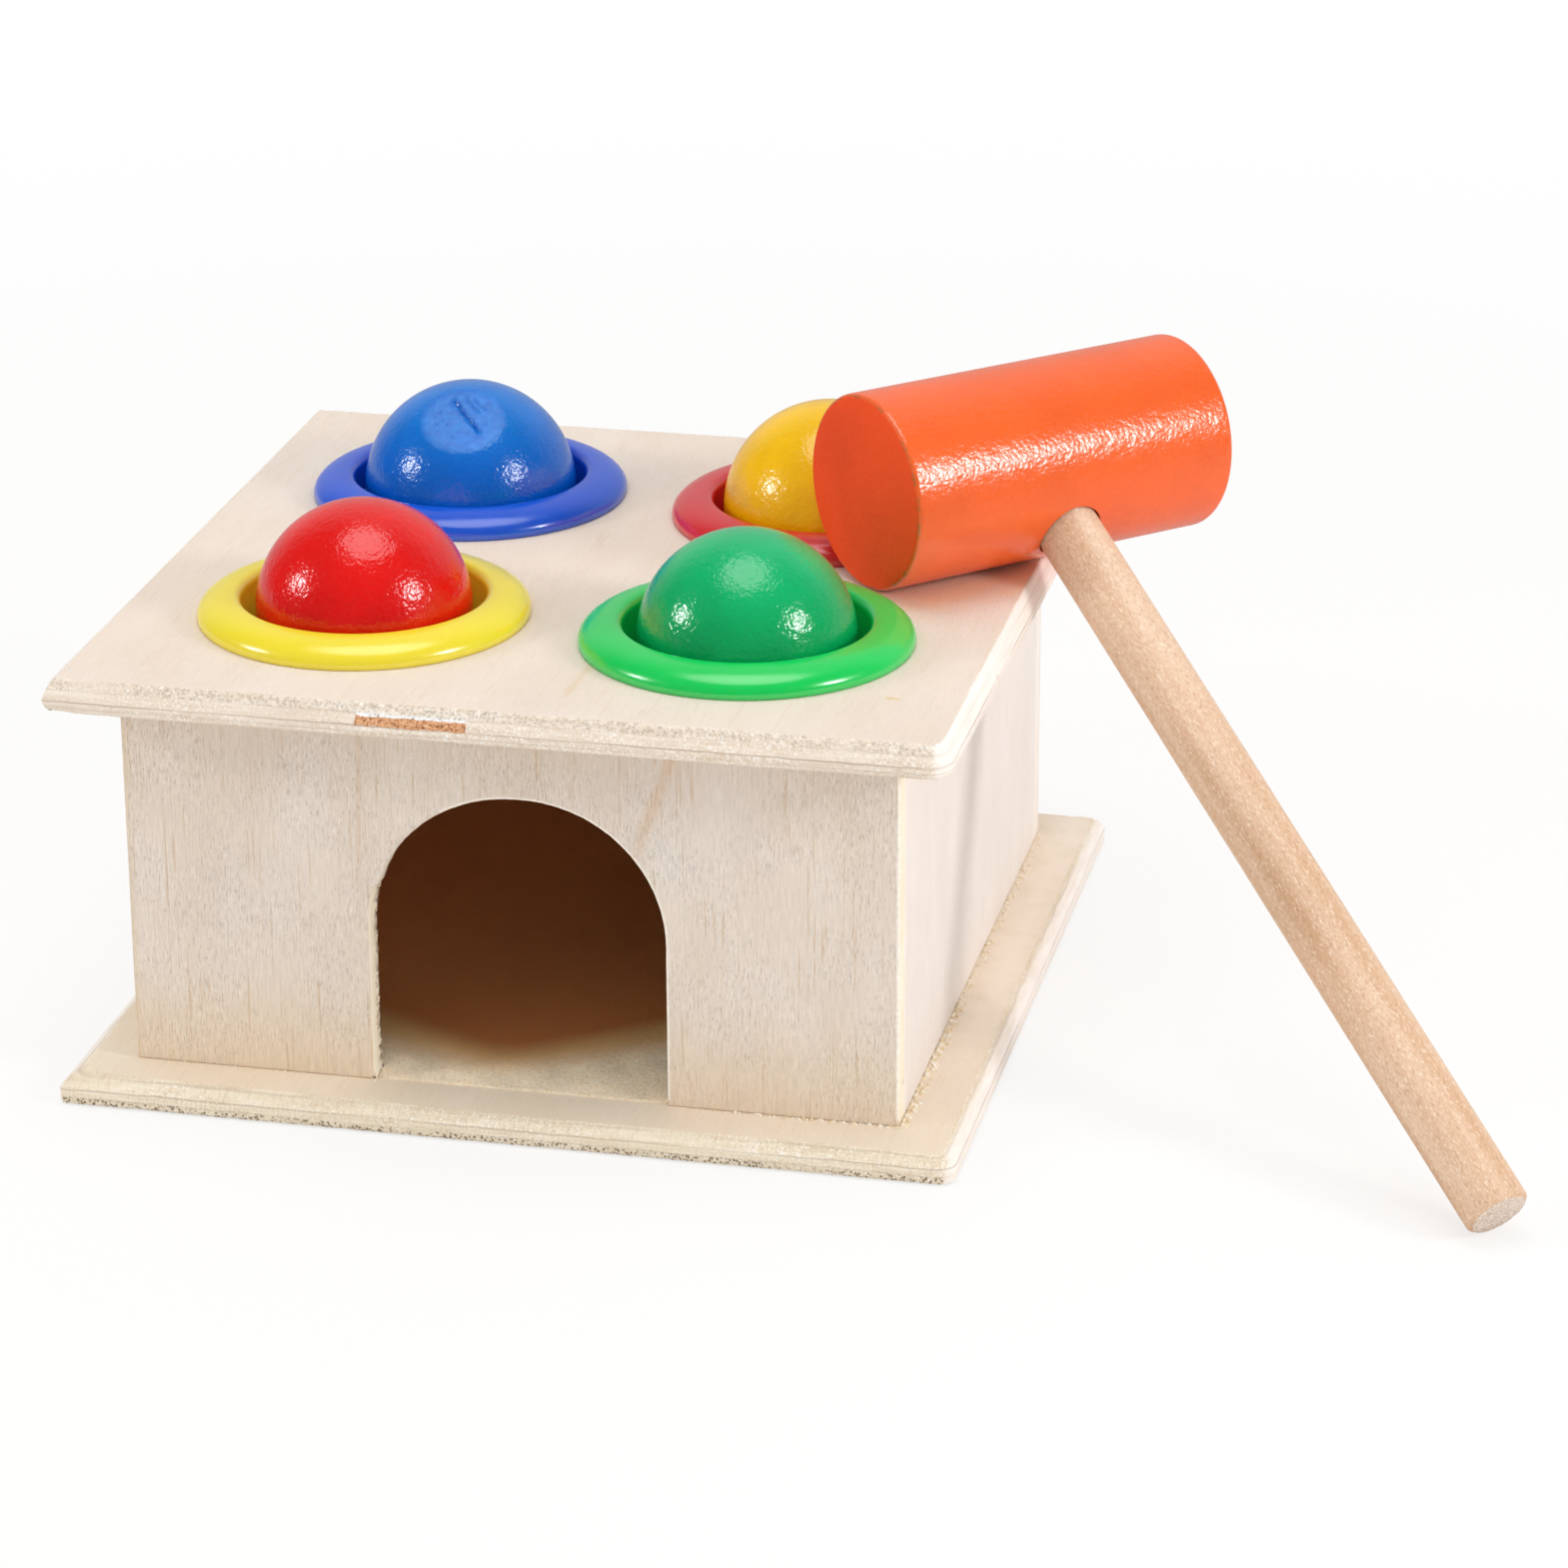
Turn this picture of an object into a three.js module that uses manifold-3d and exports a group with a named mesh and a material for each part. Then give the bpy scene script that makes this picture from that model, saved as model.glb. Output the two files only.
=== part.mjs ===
import * as THREE from 'three';
import { mergeVertices } from 'three/addons/utils/BufferGeometryUtils.js';
import Module from 'manifold-3d';

const wasm = await Module();
wasm.setup();

// Ball pounding toy: a plywood box with a doorway, four balls held in snap collars on
// its top, a sloping floor inside, and a hammer laid across the right edge of the box.
// Millimetres. Origin at the middle of the base's underside, front towards -Y, +Z up.

// Balls and the collars that hold them
const ballDiameter = 30;
const ballRise = 1;
const mouthGap = 1.6;
const lipGrip = 0.5;
const lipLand = 0.8;
const funnelHeight = 2.6;
const flangeWidth = 5.85;
const flangeHeight = 3.2;
const flangeRim = 0.6;
const crownInset = 1.9;
const mouthRoll = 0.7;
const sleeveWall = 1.1;
const sleeveTip = 0.7;
const sleeveFlare = 1.5;
const collarGap = 8.3;

// Plywood box
const panelThickness = 3.6;
const panelHeight = 52.65;
const wallClearance = 4.9;
const topThickness = 4.3;
const topOverhang = 7.85;
const topBevelWidth = 1.4;
const topBevelDepth = 2.4;
const baseThickness = 3.5;
const baseOverhang = 9.1;
const baseBevelWidth = 1.8;
const baseBevelDepth = 1.1;
const boardCorner = 3.2;
const doorWidth = 39.8;
const doorOffset = 0.9;
const lintelHeight = 10.3;

// Sloping floor that brings a dropped ball to the doorway
const rampRise = 14;
const rampThickness = 2.5;
const rampEdge = 0.25;
const rampSetback = 0.6;

// Hammer
const headDiameter = 27.3;
const headLength = 51.8;
const headEdge = 0.9;
const headAngle = THREE.MathUtils.degToRad(44.35);
const handleDiameter = 8.85;
const handleReach = 130;
const handleSeat = 7;
const handleChamfer = 0.6;

// Clearances
const holeClearance = 0.15;
const glueClearance = 0.3;
const restGap = 0.25;

// Facets
const roundSides = 36;
const handleSides = 24;
const ballSides = 28;
const ballRings = 16;
const cornerSteps = 4;
const doorSteps = 24;
const domeSteps = 5;
const rollSteps = 3;
const edgeSteps = 3;

// Sizes that follow from the ones above
const ballRadius = ballDiameter / 2;
const mouthRadius = ballRadius + mouthGap;
const lipRadius = ballRadius - lipGrip;
const flangeRadius = mouthRadius + flangeWidth;
const crownRadius = mouthRadius + crownInset;
const sleeveRadius = mouthRadius + sleeveWall;
const holeRadius = sleeveRadius + holeClearance;
const lipHeight = ballRise - Math.sqrt((ballRadius + restGap) ** 2 - lipRadius ** 2);
const sleeveEnd = lipHeight - lipLand - sleeveFlare;
const ballPitch = 2 * flangeRadius + collarGap;
const wallWidth = ballPitch + 2 * (sleeveRadius + wallClearance + panelThickness);
const innerWidth = wallWidth - 2 * panelThickness;
const topWidth = wallWidth + 2 * topOverhang;
const baseWidth = wallWidth + 2 * baseOverhang;
const undersideHeight = baseThickness + panelHeight;
const topHeight = undersideHeight + topThickness;
const doorRadius = doorWidth / 2;
const springHeight = panelHeight - lintelHeight - doorRadius;
const headRadius = headDiameter / 2;
const handleRadius = handleDiameter / 2;

const colours = {
  plywood: '#e3d2b8',
  fibreboard: '#b7a488',
  beech: '#dcbd92',
  bluePaint: '#0a4da8',
  redPaint: '#d41a1e',
  yellowPaint: '#f3b70c',
  greenPaint: '#0c8a4b',
  orangePaint: '#e2552a',
  bluePlastic: '#2440b4',
  yellowPlastic: '#f2e438',
  redPlastic: '#c22a35',
  greenPlastic: '#1fc25a',
};

// A closed mesh made ready for cuts and joins.
function toSolid(geometry) {
  const bare = geometry.clone();
  bare.deleteAttribute('normal');
  bare.deleteAttribute('uv');
  const merged = mergeVertices(bare);
  const corners = merged.index.array;
  const triangles = [];
  for (let i = 0; i < corners.length; i += 3) {
    const [a, b, c] = corners.slice(i, i + 3);
    if (a !== b && b !== c && c !== a) triangles.push(a, b, c);
  }
  const vertProperties = new Float32Array(merged.attributes.position.array);
  const triVerts = new Uint32Array(triangles);
  return new wasm.Manifold(new wasm.Mesh({ numProp: 3, vertProperties, triVerts }));
}

function toGeometry(solid) {
  const { vertProperties, triVerts } = solid.getMesh();
  const geometry = new THREE.BufferGeometry();
  geometry.setAttribute('position', new THREE.BufferAttribute(vertProperties, 3));
  geometry.setIndex(new THREE.BufferAttribute(triVerts, 1));
  geometry.computeVertexNormals();
  return geometry;
}

function makeMesh(name, geometry, color, roughness) {
  const material = new THREE.MeshStandardMaterial({ color, roughness, metalness: 0 });
  const mesh = new THREE.Mesh(geometry, material);
  mesh.name = name;
  return mesh;
}

// Points along a quarter ellipse, from start to start plus 90 degrees.
function quarterEllipse(centre, radii, start, steps) {
  const points = [];
  for (let i = 0; i <= steps; i += 1) {
    const angle = start + (i / steps) * (Math.PI / 2);
    points.push([centre[0] + radii[0] * Math.cos(angle), centre[1] + radii[1] * Math.sin(angle)]);
  }
  return points;
}

// A solid of revolution about Z from (radius, height) points.
function revolve(profile, sides) {
  const points = profile.map(([radius, height]) => new THREE.Vector2(radius, height));
  return new THREE.LatheGeometry(points, sides).rotateX(Math.PI / 2);
}

function uprightCylinder(radius, height, sides) {
  return new THREE.CylinderGeometry(radius, radius, height, sides).rotateX(Math.PI / 2);
}

function roundedSquare(side, corner) {
  const reach = side / 2 - corner;
  const shape = new THREE.Shape();
  for (let i = 0; i < 4; i += 1) {
    const start = i * (Math.PI / 2);
    const turn = start + Math.PI / 4;
    const x = reach * Math.SQRT2 * Math.cos(turn);
    const y = reach * Math.SQRT2 * Math.sin(turn);
    shape.absarc(x, y, corner, start, start + Math.PI / 2, false);
  }
  shape.closePath();
  return shape;
}

// A square board with its underside at z = 0 and a bevel round its upper edge.
function bevelledBoard(width, thickness, bevelWidth, bevelDepth) {
  const face = roundedSquare(width - 2 * bevelWidth, boardCorner - bevelWidth);
  const slab = new THREE.ExtrudeGeometry(face, {
    depth: thickness - bevelDepth,
    bevelSize: bevelWidth,
    bevelThickness: bevelDepth,
    bevelSegments: 1,
    curveSegments: cornerSteps,
  });
  const lower = new THREE.BoxGeometry(2 * width, 2 * width, 2 * bevelDepth).translate(0, 0, -bevelDepth);
  return toSolid(slab).subtract(toSolid(lower));
}

// Places of the four collars: each pair of colours sits in one quarter of the top.
const seats = [
  { side: -1, row: 1, ball: 'blue', collar: 'blue' },
  { side: 1, row: 1, ball: 'yellow', collar: 'red' },
  { side: -1, row: -1, ball: 'red', collar: 'yellow' },
  { side: 1, row: -1, ball: 'green', collar: 'green' },
].map((seat) => ({ ...seat, x: (seat.side * ballPitch) / 2, y: (seat.row * ballPitch) / 2 }));

function makeTopBoard() {
  let board = bevelledBoard(topWidth, topThickness, topBevelWidth, topBevelDepth);
  for (const { x, y } of seats) {
    const hole = uprightCylinder(holeRadius, 4 * topThickness, roundSides).translate(x, y, 0);
    board = board.subtract(toSolid(hole));
  }
  const mesh = makeMesh('top_board', toGeometry(board), colours.plywood, 0.55);
  mesh.position.z = undersideHeight;
  return mesh;
}

function makeBaseBoard() {
  const board = bevelledBoard(baseWidth, baseThickness, baseBevelWidth, baseBevelDepth);
  return makeMesh('base_board', toGeometry(board), colours.plywood, 0.6);
}

// The front panel covers the ends of the side panels. Its arched doorway is open at the bottom.
function makeFrontPanel() {
  const outline = new THREE.Shape();
  outline.moveTo(-wallWidth / 2, 0);
  outline.lineTo(doorOffset - doorRadius, 0);
  outline.lineTo(doorOffset - doorRadius, springHeight);
  outline.absarc(doorOffset, springHeight, doorRadius, Math.PI, 0, true);
  outline.lineTo(doorOffset + doorRadius, 0);
  outline.lineTo(wallWidth / 2, 0);
  outline.lineTo(wallWidth / 2, panelHeight);
  outline.lineTo(-wallWidth / 2, panelHeight);
  outline.closePath();
  const geometry = new THREE.ExtrudeGeometry(outline, {
    depth: panelThickness,
    bevelEnabled: false,
    curveSegments: doorSteps,
  }).rotateX(Math.PI / 2);
  const mesh = makeMesh('front_panel', geometry, colours.plywood, 0.65);
  mesh.position.set(0, panelThickness - wallWidth / 2, baseThickness);
  return mesh;
}

function makeRearPanel() {
  const geometry = new THREE.BoxGeometry(wallWidth, panelThickness, panelHeight);
  const mesh = makeMesh('rear_panel', geometry, colours.plywood, 0.65);
  mesh.position.set(0, (wallWidth - panelThickness) / 2, baseThickness + panelHeight / 2);
  return mesh;
}

function makeSidePanel(name, side) {
  const geometry = new THREE.BoxGeometry(panelThickness, innerWidth, panelHeight);
  const mesh = makeMesh(name, geometry, colours.plywood, 0.65);
  mesh.position.set((side * (wallWidth - panelThickness)) / 2, 0, baseThickness + panelHeight / 2);
  return mesh;
}

// The ramp lies on the base at the doorway, where its edge is planed thin, and climbs to the rear panel.
// Behind the front panel it fills the box, and a tongue of it runs out through the doorway.
function makeRamp() {
  const frontEnd = rampSetback - wallWidth / 2;
  const rearEnd = innerWidth / 2 - glueClearance;
  const slope = rampRise / (rearEnd - frontEnd);
  const drop = rampThickness * Math.hypot(1, slope);
  const rearTop = rampEdge + rampRise;
  const section = new THREE.Shape();
  section.moveTo(frontEnd, 0);
  section.lineTo(frontEnd + (drop - rampEdge) / slope, 0);
  section.lineTo(rearEnd, rearTop - drop);
  section.lineTo(rearEnd, rearTop);
  section.lineTo(frontEnd, rampEdge);
  section.closePath();
  const width = innerWidth - 2 * glueClearance;
  const board = new THREE.ExtrudeGeometry(section, { depth: width, bevelEnabled: false });
  board.translate(0, 0, -width / 2).rotateX(Math.PI / 2).rotateZ(Math.PI / 2);
  let ramp = toSolid(board);
  const tongue = doorRadius - glueClearance;
  const reach = panelThickness + glueClearance;
  for (const side of [-1, 1]) {
    const cut = new THREE.BoxGeometry(wallWidth, 2 * reach, 4 * rearTop);
    cut.translate(doorOffset + side * (tongue + wallWidth / 2), -wallWidth / 2, 0);
    ramp = ramp.subtract(toSolid(cut));
  }
  const mesh = makeMesh('ramp_board', toGeometry(ramp), colours.fibreboard, 0.9);
  mesh.position.z = baseThickness;
  return mesh;
}

// Collar section: domed flange on the board, rolled mouth, funnel, snap lip below the
// ball's widest part, and a sleeve through the board that flares open under the lip.
const flangeDome = quarterEllipse(
  [crownRadius, flangeRim],
  [flangeRadius - crownRadius, flangeHeight - flangeRim],
  0,
  domeSteps,
);

function makeCollar(name, color) {
  const roll = quarterEllipse(
    [crownRadius, flangeHeight - mouthRoll],
    [crownRadius - mouthRadius, mouthRoll],
    Math.PI / 2,
    rollSteps,
  );
  const geometry = revolve([
    [sleeveRadius, 0],
    [flangeRadius, 0],
    ...flangeDome,
    ...roll.slice(1),
    [mouthRadius, lipHeight + funnelHeight],
    [lipRadius, lipHeight],
    [lipRadius, lipHeight - lipLand],
    [sleeveRadius - sleeveTip, sleeveEnd],
    [sleeveRadius, sleeveEnd],
    [sleeveRadius, 0],
  ], roundSides);
  return makeMesh(name, geometry, color, 0.3);
}

function makeBall(name, color) {
  const geometry = new THREE.SphereGeometry(ballRadius, ballSides, ballRings).rotateX(Math.PI / 2);
  return makeMesh(name, geometry, color, 0.25);
}

function makeSeats() {
  const group = new THREE.Group();
  for (const { x, y, ball, collar } of seats) {
    const ring = makeCollar(`collar_${collar}`, colours[`${collar}Plastic`]);
    ring.position.set(x, y, topHeight);
    const sphere = makeBall(`ball_${ball}`, colours[`${ball}Paint`]);
    sphere.position.set(x, y, topHeight + ballRise);
    group.add(ring, sphere);
  }
  return group;
}

// Head along X with eased edges and a blind socket for the handle, which leaves towards -Y.
function makeHammerHead() {
  const half = headLength / 2;
  const lowEdge = quarterEllipse([headRadius - headEdge, headEdge - half], [headEdge, headEdge], -Math.PI / 2, edgeSteps);
  const highEdge = quarterEllipse([headRadius - headEdge, half - headEdge], [headEdge, headEdge], 0, edgeSteps);
  const body = revolve([[0, -half], ...lowEdge, ...highEdge, [0, half]], roundSides).rotateY(Math.PI / 2);
  const socketTop = handleSeat + glueClearance;
  const socketDepth = socketTop + 2 * headRadius;
  const socket = new THREE.CylinderGeometry(
    handleRadius + glueClearance,
    handleRadius + glueClearance,
    socketDepth,
    handleSides,
  ).translate(0, socketTop - socketDepth / 2, 0);
  const head = toSolid(body).subtract(toSolid(socket));
  return makeMesh('hammer_head', toGeometry(head), colours.orangePaint, 0.3);
}

function makeHammerHandle() {
  const dowel = revolve([
    [0, -handleReach],
    [handleRadius - handleChamfer, -handleReach],
    [handleRadius, handleChamfer - handleReach],
    [handleRadius, handleSeat - handleChamfer],
    [handleRadius - handleChamfer, handleSeat],
    [0, handleSeat],
  ], handleSides).rotateX(-Math.PI / 2);
  return makeMesh('hammer_handle', dowel, colours.beech, 0.6);
}

// The head lies on the top against the rear right collar, clear of the front right one.
// Its handle drops past the board's right edge until its end stands on the ground.
function makeHammer() {
  const hammer = new THREE.Group();
  hammer.add(makeHammerHead(), makeHammerHandle());

  const axisHeight = topHeight + headRadius;
  const tipReach = handleReach - handleChamfer;
  const tilt = Math.asin(axisHeight / Math.hypot(tipReach, handleRadius)) - Math.atan2(handleRadius, tipReach);

  const along = new THREE.Vector2(Math.cos(headAngle), Math.sin(headAngle));
  const across = new THREE.Vector2(along.y, -along.x);
  const halfChord = (height) => Math.sqrt(headRadius ** 2 - Math.max(0, headRadius + restGap - height) ** 2);
  const lean = Math.max(...flangeDome.map(([radius, height]) => radius + halfChord(height))) + restGap;
  const drift = across.x * Math.cos(tilt);
  const edgeX = topWidth / 2 + restGap + handleRadius * Math.sqrt(1 - drift ** 2) - headRadius * drift;
  const pastEdge = (edgeX - ballPitch / 2 - across.x * lean) / along.x;
  const pastCollar = flangeRadius + restGap + headLength / 2 - ballPitch * along.y;
  const shift = Math.max(pastEdge, pastCollar);

  const place = new THREE.Vector2(ballPitch / 2, ballPitch / 2);
  place.addScaledVector(across, lean).addScaledVector(along, shift);
  hammer.position.set(place.x, place.y, axisHeight + restGap);
  hammer.rotation.set(tilt, 0, headAngle, 'ZYX');
  return hammer;
}

const toy = new THREE.Group();
toy.add(
  makeBaseBoard(),
  makeFrontPanel(),
  makeRearPanel(),
  makeSidePanel('left_panel', -1),
  makeSidePanel('right_panel', 1),
  makeRamp(),
  makeTopBoard(),
  makeSeats(),
  makeHammer(),
);

export default toy;
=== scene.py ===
import math
import random

import bmesh
import bpy
from mathutils import Matrix, Vector, noise


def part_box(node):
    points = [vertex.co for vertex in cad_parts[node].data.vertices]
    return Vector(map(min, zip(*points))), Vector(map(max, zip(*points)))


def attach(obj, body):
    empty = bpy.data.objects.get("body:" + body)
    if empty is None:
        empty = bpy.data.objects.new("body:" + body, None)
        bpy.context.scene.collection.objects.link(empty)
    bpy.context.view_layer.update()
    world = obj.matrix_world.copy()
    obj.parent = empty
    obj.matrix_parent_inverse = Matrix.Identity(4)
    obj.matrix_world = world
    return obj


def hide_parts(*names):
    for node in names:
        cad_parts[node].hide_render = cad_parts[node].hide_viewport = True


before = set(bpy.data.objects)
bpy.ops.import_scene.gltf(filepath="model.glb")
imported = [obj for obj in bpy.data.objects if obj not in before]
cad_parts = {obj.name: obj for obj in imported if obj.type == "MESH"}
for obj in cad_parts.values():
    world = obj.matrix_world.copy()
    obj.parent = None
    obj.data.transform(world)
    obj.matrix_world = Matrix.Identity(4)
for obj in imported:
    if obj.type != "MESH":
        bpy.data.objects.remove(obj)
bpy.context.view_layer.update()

mm = 0.001
scene = bpy.context.scene
scene.view_settings.view_transform = "Standard"
print("frame loaded:", len(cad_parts), "solids")


# shader helpers

def hexColour(text):
    parts = [int(text[i:i + 2], 16) / 255 for i in (1, 3, 5)]
    linear = [c / 12.92 if c <= 0.04045 else ((c + 0.055) / 1.055) ** 2.4 for c in parts]
    return (*linear, 1.0)


class PaintMix:  # the node tree of one finish, or of the surround

    def __init__(self, owner):
        owner.use_nodes = True
        self.tree = owner.node_tree
        self.tree.nodes.clear()
        self.coords = self.put("ShaderNodeTexCoord").outputs
        self.place = self.coords["Object"]

    def put(self, kind, inputs=None, **settings):
        node = self.tree.nodes.new(kind)
        for key, value in settings.items():
            setattr(node, key, value)
        for key, value in (inputs or {}).items():
            if isinstance(value, bpy.types.NodeSocket):
                self.tree.links.new(value, node.inputs[key])
            else:
                node.inputs[key].default_value = hexColour(value) if isinstance(value, str) else value
        return node

    def calc(self, how, a, b=0.0):
        return self.put("ShaderNodeMath", {0: a, 1: b}, operation=how).outputs[0]

    def times(self, first, *others):
        for other in others:
            first = self.calc("MULTIPLY", first, other)
        return first

    def plus(self, a, b):
        return self.calc("ADD", a, b)

    def less(self, a, b):
        return self.calc("SUBTRACT", a, b)

    def vector(self, how, a, b=(0, 0, 0), out="Value"):
        return self.put("ShaderNodeVectorMath", {0: a, 1: b}, operation=how).outputs[out]

    def part(self, vector, axis):
        return self.put("ShaderNodeSeparateXYZ", {0: vector}).outputs[axis]

    def along(self, axis):  # mm along one axis
        return self.calc("DIVIDE", self.part(self.place, axis), mm)

    def facing(self, axis):  # how far the surface looks along one axis
        return self.part(self.coords["Normal"], axis)

    def span(self, value, low, high, outLow=0.0, outHigh=1.0):
        sockets = {"Value": value, "From Min": low, "From Max": high, "To Min": outLow, "To Max": outHigh}
        return self.put("ShaderNodeMapRange", sockets, interpolation_type="SMOOTHSTEP").outputs[0]

    def between(self, a, b, amount):
        return self.put("ShaderNodeMix", {0: amount, 2: a, 3: b}, data_type="FLOAT").outputs[0]

    def tint(self, under, over, amount, how="MIX"):
        sockets = {0: amount, 6: under, 7: over}
        return self.put("ShaderNodeMix", sockets, data_type="RGBA", blend_type=how).outputs[2]

    def shade(self, colour, value):  # darker or lighter by a grey
        grey = self.put("ShaderNodeCombineColor", {0: value, 1: value, 2: value}).outputs[0]
        return self.tint(colour, grey, 1.0, "MULTIPLY")

    def cloud(self, colour, size, darkest, lightest):  # soft patches, size in mm
        return self.shade(colour, self.span(self.speckle(size, 3.0), 0.3, 0.7, darkest, lightest))

    def ramp(self, value, places, colours):
        node = self.put("ShaderNodeValToRGB", {"Fac": value})
        while len(node.color_ramp.elements) < len(colours):
            node.color_ramp.elements.new(0.5)
        for element, position, colour in zip(node.color_ramp.elements, places, colours):
            element.position = position
            element.color = hexColour(colour)
        return node.outputs["Color"]

    def speckle(self, size, detail=2.0, rough=0.5, place=None):  # size in mm
        place = self.place if place is None else place
        sockets = {"Vector": place, "Scale": 1 / (size * mm), "Detail": detail, "Roughness": rough}
        return self.put("ShaderNodeTexNoise", sockets).outputs["Fac"]

    def stretched(self, axes, ratio):  # squeeze a pattern's frequency along some axes
        scale = [ratio if axis in axes else 1.0 for axis in "XYZ"]
        return self.put("ShaderNodeMapping", {"Vector": self.place, "Scale": scale}).outputs[0]

    def bump(self, height, depth, below=None):  # depth in mm
        sockets = {"Height": height, "Distance": depth * mm, "Strength": 1.0}
        if below is not None:
            sockets["Normal"] = below
        return self.put("ShaderNodeBump", sockets).outputs[0]

    def paintSkin(self, layers):  # size in mm, detail and depth in mm of each layer, from coarse to fine
        relief = None
        for size, detail, depth in layers:
            skin = self.speckle(size, detail)
            relief = self.bump(skin, depth, relief)
        return skin, relief

    def surface(self, colour, rough, shine, relief=None, more=None):
        sockets = {"Base Color": colour, "Roughness": rough, "Specular IOR Level": shine, **(more or {})}
        if relief is not None:
            sockets["Normal"] = relief
        shader = self.put("ShaderNodeBsdfPrincipled", sockets)
        self.put("ShaderNodeOutputMaterial", {"Surface": shader.outputs[0]})


def newFinish(name):
    finish = bpy.data.materials.new(name)
    return finish, PaintMix(finish)


# mesh helpers, all in mm

drilled = {
    "sides": 96,
    "ease": 0.25,  # mm the edge of a hole is eased
}


def joinRings(bm, rings, wrap=False):
    faces = []
    for low, high in zip(rings, rings[1:] + (rings[:1] if wrap else [])):
        count = max(len(low), len(high))
        for i in range(count):
            j = (i + 1) % count
            if len(low) == 1:
                corners = (low[0], high[i], high[j])
            elif len(high) == 1:
                corners = (low[i], low[j], high[0])
            else:
                corners = (low[i], low[j], high[j], high[i])
            face = bm.faces.new(corners)
            face.smooth = True
            faces.append(face)
    return faces


def circle(centre, radius, sides):
    angles = [2 * math.pi * i / sides for i in range(sides)]
    return [(centre[0] + radius * math.cos(a), centre[1] + radius * math.sin(a)) for a in angles]


def lathe(profile, sides, centre=(0, 0), wrap=False):
    bm = bmesh.new()
    rings = []
    for radius, height in profile:
        points = circle(centre, radius, sides) if radius > 1e-6 else [centre]
        rings.append([bm.verts.new((*point, height)) for point in points])
    joinRings(bm, rings, wrap)
    return bm


def quarterArc(centre, radii, start, steps):
    points = []
    for i in range(steps + 1):
        angle = start + math.pi / 2 * i / steps
        points.append((centre[0] + radii[0] * math.cos(angle), centre[1] + radii[1] * math.sin(angle)))
    return points


def straight(start, end, step, count=None):
    count = count or max(1, round(math.dist(start, end) / step))
    return [(start[0] + (end[0] - start[0]) * i / count, start[1] + (end[1] - start[1]) * i / count)
            for i in range(count)]


def roundedBoard(low, high, corners, step, inset=0.0, growth=(0, 0, 0, 0)):
    # corner radii from the high-high corner round to the high-low one
    # growth: how much each radius opens out per mm of inset; the point count doesn't follow the inset
    signs = [(1, 1), (-1, 1), (-1, -1), (1, -1)]
    smallest = 0.12
    arcs = []
    for i, ((signU, signV), corner, grow) in enumerate(zip(signs, corners, growth)):
        radius = max(corner + (grow - 1) * inset, smallest)
        centre = ((high[0] if signU > 0 else low[0]) - signU * (inset + radius),
                  (high[1] if signV > 0 else low[1]) - signV * (inset + radius))
        steps = max(4, round((corner + grow) * 1.6 / step))
        arcs.append(quarterArc(centre, (radius, radius), i * math.pi / 2, steps))
    points = []
    for i, arc in enumerate(arcs):
        side = (high[0] - low[0]) if i % 2 == 0 else (high[1] - low[1])
        points += arc[:-1] + straight(arc[-1], arcs[(i + 1) % 4][0], step, round(side / step))
    return points


def withNormals(points):  # outward normals of a counter-clockwise outline
    outline = []
    for i, (u, v) in enumerate(points):
        before, after = points[i - 1], points[(i + 1) % len(points)]
        du, dv = after[0] - before[0], after[1] - before[1]
        size = math.hypot(du, dv)
        outline.append((u, v, dv / size, -du / size))
    return outline


def offset(points, inset):
    return [(u - nu * inset, v - nv * inset) for u, v, nu, nv in withNormals(points)]


def fillCap(bm, loops):
    edges = []
    for loop in loops:
        edges += [bm.edges.get((loop[i], loop[(i + 1) % len(loop)])) for i in range(len(loop))]
    bmesh.ops.triangle_fill(bm, edges=edges, use_beauty=True)
    for edge in edges:
        edge.smooth = False


def slab(outlineAt, levels, toSpace, holes=(), wear=None):
    # levels: (height, inset) pairs from one face to the other; caps take finish 0, edges finish 1
    bm = bmesh.new()
    rings = []
    for index, (height, inset) in enumerate(levels):
        ring = []
        for u, v, nu, nv in withNormals(outlineAt(inset)):
            extra, lift = wear(u, v, nu, nv, index) if wear else (0.0, 0.0)
            ring.append(bm.verts.new(toSpace(u - nu * extra, v - nv * extra, height + lift)))
        rings.append(ring)
    edgeFaces = joinRings(bm, rings)
    first, last = [rings[0]], [rings[-1]]
    low, high, ease = levels[0][0], levels[-1][0], drilled["ease"]
    for u, v, radius in holes:
        steps = [(radius + ease, low), (radius, low + ease), (radius, high - ease), (radius + ease, high)]
        holeRings = []
        for size, height in steps:
            points = circle((u, v), size, drilled["sides"])
            holeRings.append([bm.verts.new(toSpace(*point, height)) for point in points])
        edgeFaces += joinRings(bm, holeRings)
        first.append(holeRings[0])
        last.append(holeRings[-1])
    for face in edgeFaces:
        face.material_index = 1
    fillCap(bm, first)
    fillCap(bm, last)
    return bm, edgeFaces


def sharpen(bm, degrees):
    for edge in bm.edges:
        if len(edge.link_faces) == 2 and edge.calc_face_angle(0) > math.radians(degrees):
            edge.smooth = False


def newObject(name, bm, finishes=(), matrix=None):
    bmesh.ops.recalc_face_normals(bm, faces=bm.faces)
    bmesh.ops.scale(bm, vec=(mm, mm, mm), verts=bm.verts)
    mesh = bpy.data.meshes.new(name)
    bm.to_mesh(mesh)
    bm.free()
    for finish in finishes:
        mesh.materials.append(finish)
    made = bpy.data.objects.new(name, mesh)
    scene.collection.objects.link(made)
    if matrix is not None:
        made.matrix_world = matrix
    return made


def addPiece(name, bm, body, finishes, stoodFor=(), matrix=None):
    piece = newObject(name, bm, finishes, matrix)
    if stoodFor:
        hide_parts(*stoodFor)
    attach(piece, body)
    return piece


def nodeBox(node):
    low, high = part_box(node)
    return low / mm, high / mm


# camera at the photograph's angle

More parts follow.
